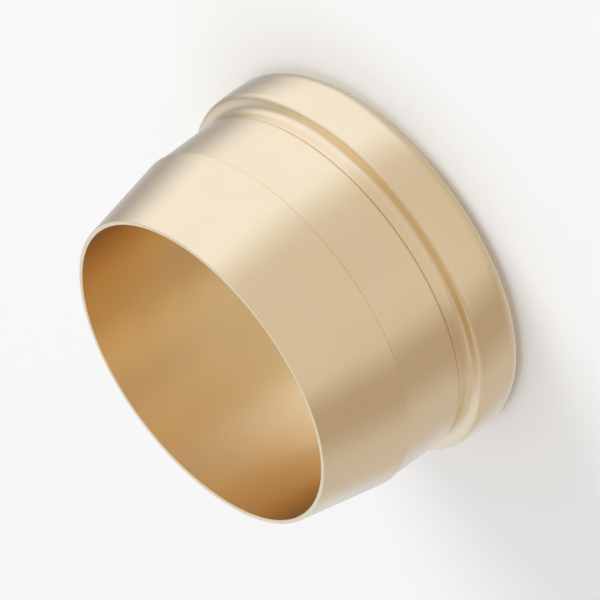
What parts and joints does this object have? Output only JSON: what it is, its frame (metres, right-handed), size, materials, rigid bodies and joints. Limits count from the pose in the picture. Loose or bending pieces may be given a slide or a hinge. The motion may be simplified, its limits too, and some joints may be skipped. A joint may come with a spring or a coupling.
{
  "type": "compression ring",
  "caption": "Turned brass compression ring for a coned tube fitting: straight bore, tapered thin-edged nose, plain land, cut-in neck and rounded collar.",
  "frame": {"origin": "centre of the ring's flat back face, on the bore's axis, at the collar end", "axes": "+Z along the bore's axis from the collar to the thin nose edge; X and Y are free, because the ring is round"},
  "size_m": [0.0186, 0.0186, 0.0108],
  "materials": {
    "turned_brass": "bright turned brass, satin in the round with fine tool marks, warmer inside the bore"
  },
  "bodies": {
    "root": {"compression_ring": "turned_brass"}
  },
  "joints": []
}
